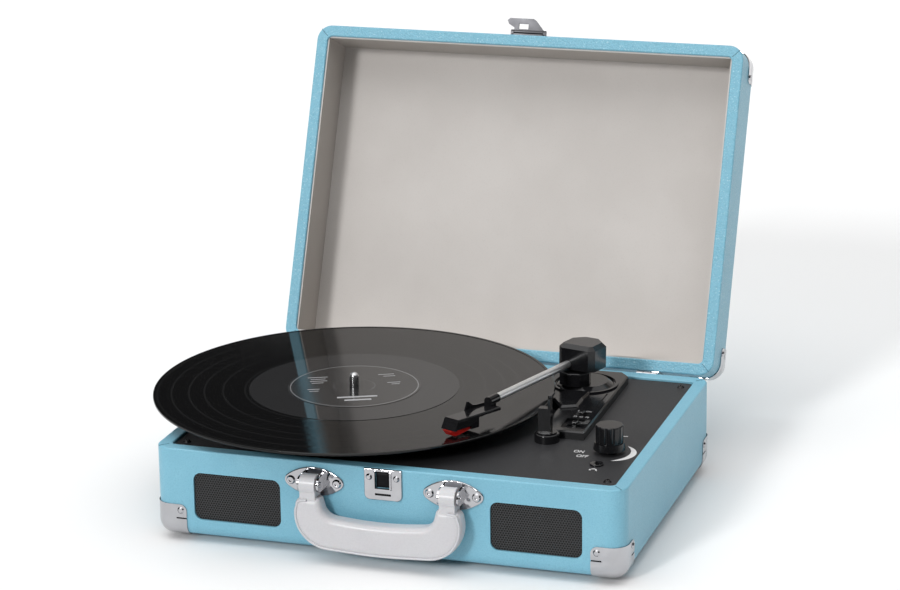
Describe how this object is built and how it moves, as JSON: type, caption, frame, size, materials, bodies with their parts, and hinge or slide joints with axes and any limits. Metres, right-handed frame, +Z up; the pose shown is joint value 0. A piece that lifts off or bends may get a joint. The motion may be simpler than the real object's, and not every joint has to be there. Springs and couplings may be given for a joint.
{
  "type": "suitcase record player",
  "caption": "Portable suitcase record player: hinged lid open, record on its platter under a pivoting tonearm, speakers in the front, carrying handle and catch.",
  "frame": {"origin": "centre of the bottom panel's outer face, on the case's underside, with the feet below it", "axes": "+X to the right as seen from the handle side, +Y from the handle to the hinges, +Z up out of the deck"},
  "size_m": [0.3962, 0.4266, 0.3208],
  "materials": {
    "leatherette": "fine pebbled texture, satin",
    "lid_liner": "flat paper-like lining",
    "board": "raw fibreboard",
    "deck_black": "fine matt",
    "black_gloss": "polished",
    "chrome": "polished plate",
    "grille_black": "satin black",
    "speaker_steel": "satin",
    "speaker_paper": "pressed paper",
    "ferrite": "matt",
    "white_plastic": "satin",
    "rubber_black": "matt",
    "bronze": "plain",
    "steel": "bright",
    "tube_silver": "satin",
    "vinyl": "grooved, polished",
    "label_paper": "printed paper",
    "stylus_red": "translucent look",
    "circuit_green": "solder mask",
    "platter_black": "satin"
  },
  "bodies": {
    "base": {"case_shell": "leatherette", "bottom_panel": "board", "bottom_screws": "steel", "rubber_feet": "rubber_black", "corner_blocks": "board", "deck_plate": "deck_black", "deck_screws": "black_gloss", "speaker_grilles": "grille_black", "speaker_frames": "speaker_steel", "speaker_cones": "speaker_paper", "speaker_magnets": "ferrite", "base_corner_protectors": "chrome", "base_corner_rivets": "chrome", "handle_plates": "chrome", "handle_plate_screws": "chrome", "handle_pins": "chrome", "catch_plate": "chrome", "catch_keeper": "chrome", "catch_rivets": "chrome", "hinge_base_leaves": "chrome", "hinge_pins": "steel", "hinge_base_screws": "chrome", "spindle_bearing": "bronze", "motor": "steel", "drive_belt": "rubber_black", "tonearm_base_plate": "black_gloss", "arm_rest": "black_gloss", "volume_control": "steel", "headphone_socket": "black_gloss", "rear_socket_plate": "deck_black", "line_out_sockets": "steel", "power_socket": "black_gloss", "main_board": "circuit_green", "board_standoffs": "deck_black"},
    "lid": {"lid_shell": "leatherette", "lid_lining": "lid_liner", "lid_corner_protectors": "chrome", "lid_corner_rivets": "chrome", "hinge_lid_leaves": "chrome", "hinge_lid_screws": "chrome", "hasp_bracket": "chrome"},
    "hasp": {"hasp_loop": "chrome"},
    "handle": {"carry_handle": "white_plastic"},
    "platter": {"platter": "platter_black", "platter_mat": "rubber_black", "spindle": "steel", "vinyl_record": "vinyl", "record_label": "label_paper"},
    "motor_rotor": {"motor_pulley": "bronze"},
    "turret": {"tonearm_turret": "black_gloss"},
    "arm": {"tonearm_head": "black_gloss", "tilt_pin": "steel", "tonearm_tube": "tube_silver", "headshell": "black_gloss", "cartridge": "black_gloss", "stylus": "stylus_red"},
    "rest_clip": {"arm_rest_clip": "black_gloss"},
    "knob": {"volume_knob": "black_gloss"},
    "speed_slider": {"speed_switch": "black_gloss"},
    "auto_stop_slider": {"auto_stop_switch": "black_gloss"}
  },
  "joints": [
    {"name": "lid_hinge", "type": "hinge", "parent": "base", "child": "lid", "pos_m": [0, 0.1326, 0.0641], "axis": [1, 0, 0], "range_deg": [0, 22]},
    {"name": "hasp_flip", "type": "hinge", "parent": "lid", "child": "hasp", "pos_m": [0, 0.2416, 0.30549], "axis": [1, 0, 0], "range_deg": [-80, 90]},
    {"name": "handle_swing", "type": "hinge", "parent": "base", "child": "handle", "pos_m": [0, -0.139, 0.054], "axis": [-1, 0, 0], "range_deg": [0, 110]},
    {"name": "platter_spin", "type": "hinge", "parent": "base", "child": "platter", "pos_m": [-0.0677, 0.0021, 0.07], "axis": [0, 0, -1], "continuous": true},
    {"name": "motor_spin", "type": "hinge", "parent": "base", "child": "motor_rotor", "pos_m": [-0.13358, 0.05738, 0.07], "axis": [0, 0, -1], "continuous": true},
    {"name": "tonearm_swing", "type": "hinge", "parent": "base", "child": "turret", "pos_m": [0.0905, 0.0795, 0.072], "axis": [0, 0, 1], "range_deg": [-26, 17.5]},
    {"name": "tonearm_lift", "type": "hinge", "parent": "turret", "child": "arm", "pos_m": [0.0905, 0.0795, 0.09], "axis": [-0.9703, 0.2419, 0], "range_deg": [0, 12]},
    {"name": "rest_clip_flip", "type": "hinge", "parent": "base", "child": "rest_clip", "pos_m": [0.09625, -0.037, 0.0983], "axis": [0, 0, 1], "range_deg": [0, 90]},
    {"name": "volume_turn", "type": "hinge", "parent": "base", "child": "knob", "pos_m": [0.1435, -0.048, 0.07], "axis": [0, 0, -1], "range_deg": [-135, 135]},
    {"name": "speed_slide", "type": "slide", "parent": "base", "child": "speed_slider", "axis": [1, 0, 0], "range_m": [-0.0045, 0.0045]},
    {"name": "auto_stop_slide", "type": "slide", "parent": "base", "child": "auto_stop_slider", "axis": [1, 0, 0], "range_m": [-0.002, 0.002]}
  ],
  "couplings": [
    {"joint": "motor_spin", "follows": "platter_spin", "ratio": 17.629}
  ]
}
